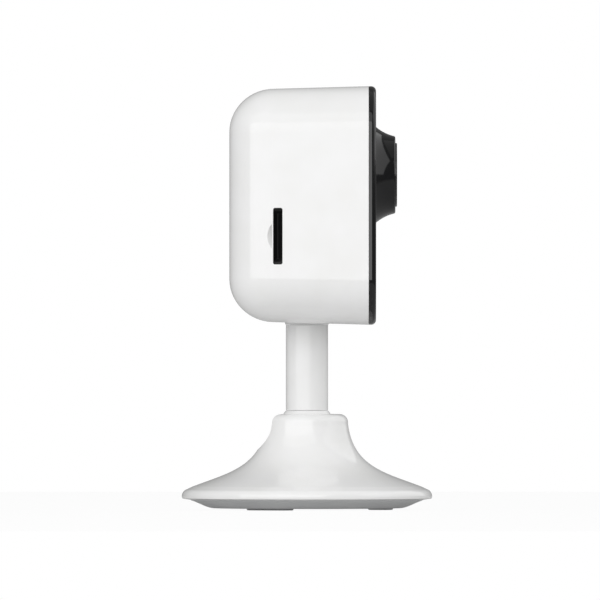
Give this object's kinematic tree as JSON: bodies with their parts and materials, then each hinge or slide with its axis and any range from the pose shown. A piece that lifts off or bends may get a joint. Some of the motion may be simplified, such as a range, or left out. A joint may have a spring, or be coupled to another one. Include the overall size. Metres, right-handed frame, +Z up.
{
  "type": "security camera",
  "caption": "Small indoor security camera: a square white head with a black front cover and flared lens shroud, on a stem that swivels and folds in a round weighted base.",
  "frame": {"origin": "centre of the base on the table, under the stem's axis", "axes": "+Z up along the stem; -Y is the way the lens looks; +X is to the right of a person who faces the lens"},
  "size_m": [0.061, 0.061, 0.103],
  "materials": {
    "white_abs": "fine satin moulded texture",
    "black_gloss": "polished",
    "black_satin": "satin moulded",
    "black_matte": "matte anti-glare",
    "grey_abs": "fine matte moulded texture",
    "soft_rubber": "matte silicone rubber",
    "zinc_steel": "zinc plated",
    "tinned_steel": "tinned sheet",
    "heat_aluminium": "satin",
    "lens_glass": "coated optical glass",
    "cover_glass": "polished, lightly tinted",
    "filter_cyan": "infrared cut coating",
    "filter_clear": "clear",
    "circuit_board": "green solder mask over glass fibre",
    "chip_epoxy": "matte moulding compound",
    "sensor_silicon": "silicon under glass",
    "polyimide": "amber film over copper",
    "coil_copper": "enamelled copper wire",
    "led_epoxy": "infrared-pass epoxy",
    "clear_pmma": "clear acrylic",
    "gap_pad": "soft silicone gap filler",
    "ivory_nylon": "moulded nylon",
    "wire_pvc": "PVC insulation",
    "button_grey": "satin",
    "acoustic_cloth": "fine woven mesh"
  },
  "bodies": {
    "base": {"base_shell": "white_abs", "base_cover": "grey_abs", "foot_pads": "soft_rubber", "base_weight": "zinc_steel", "ball_retainer": "black_matte", "friction_washers": "zinc_steel", "retainer_screws": "zinc_steel", "cover_screws": "zinc_steel"},
    "pivot": {"pivot_ball": "white_abs", "hinge_pins": "zinc_steel"},
    "head": {"stem": "white_abs", "stem_washer": "zinc_steel", "stem_screw": "zinc_steel", "neck_screw": "zinc_steel", "rear_housing": "white_abs", "front_frame": "black_matte", "frame_screws": "zinc_steel", "front_cover": "black_gloss", "lens_shroud": "black_satin", "lens_trim_ring": "black_satin", "lens_cover_glass": "cover_glass", "lens_barrel": "black_matte", "front_lens": "lens_glass", "rear_lens": "lens_glass", "lens_holder": "black_matte", "holder_screws": "zinc_steel", "ir_cut_coil": "coil_copper", "image_sensor": "sensor_silicon", "sensor_board": "circuit_board", "sensor_flex": "polyimide", "led_board": "circuit_board", "led_board_screws": "zinc_steel", "ir_leds": "led_epoxy", "status_led": "clear_pmma", "light_pipe": "clear_pmma", "light_sensor": "sensor_silicon", "microphone": "tinned_steel", "mic_gasket": "soft_rubber", "main_board": "circuit_board", "main_chips": "chip_epoxy", "board_screws": "zinc_steel", "thermal_pad": "gap_pad", "heat_sink": "heat_aluminium", "shield_can": "tinned_steel", "card_socket": "tinned_steel", "power_board": "circuit_board", "board_connector": "ivory_nylon", "power_socket": "tinned_steel", "reset_switch": "chip_epoxy", "speaker": "black_satin", "speaker_gasket": "soft_rubber", "speaker_wires": "wire_pvc", "wifi_antenna": "polyimide", "antenna_cable": "black_matte", "speaker_cloth": "acoustic_cloth", "card_slot_liner": "black_matte"},
    "filter": {"filter_slider": "black_matte", "ir_filter_glass": "filter_cyan", "clear_filter_glass": "filter_clear"},
    "button": {"reset_button": "button_grey"}
  },
  "joints": [
    {"name": "base_fold", "type": "hinge", "parent": "base", "child": "pivot", "pos_m": [0, 0, 0.0198], "axis": [-1, 0, 0], "range_deg": [0, 75]},
    {"name": "head_spin", "type": "hinge", "parent": "pivot", "child": "head", "pos_m": [0, 0, 0.0198], "axis": [0, 0, 1], "continuous": true},
    {"name": "filter_shift", "type": "slide", "parent": "head", "child": "filter", "axis": [-1, 0, 0], "range_m": [0, 0.007]},
    {"name": "reset_press", "type": "slide", "parent": "head", "child": "button", "axis": [0, -1, 0], "range_m": [0, 0.0006], "stiffness_N_per_m": 400, "springref_m": -0.0006}
  ]
}
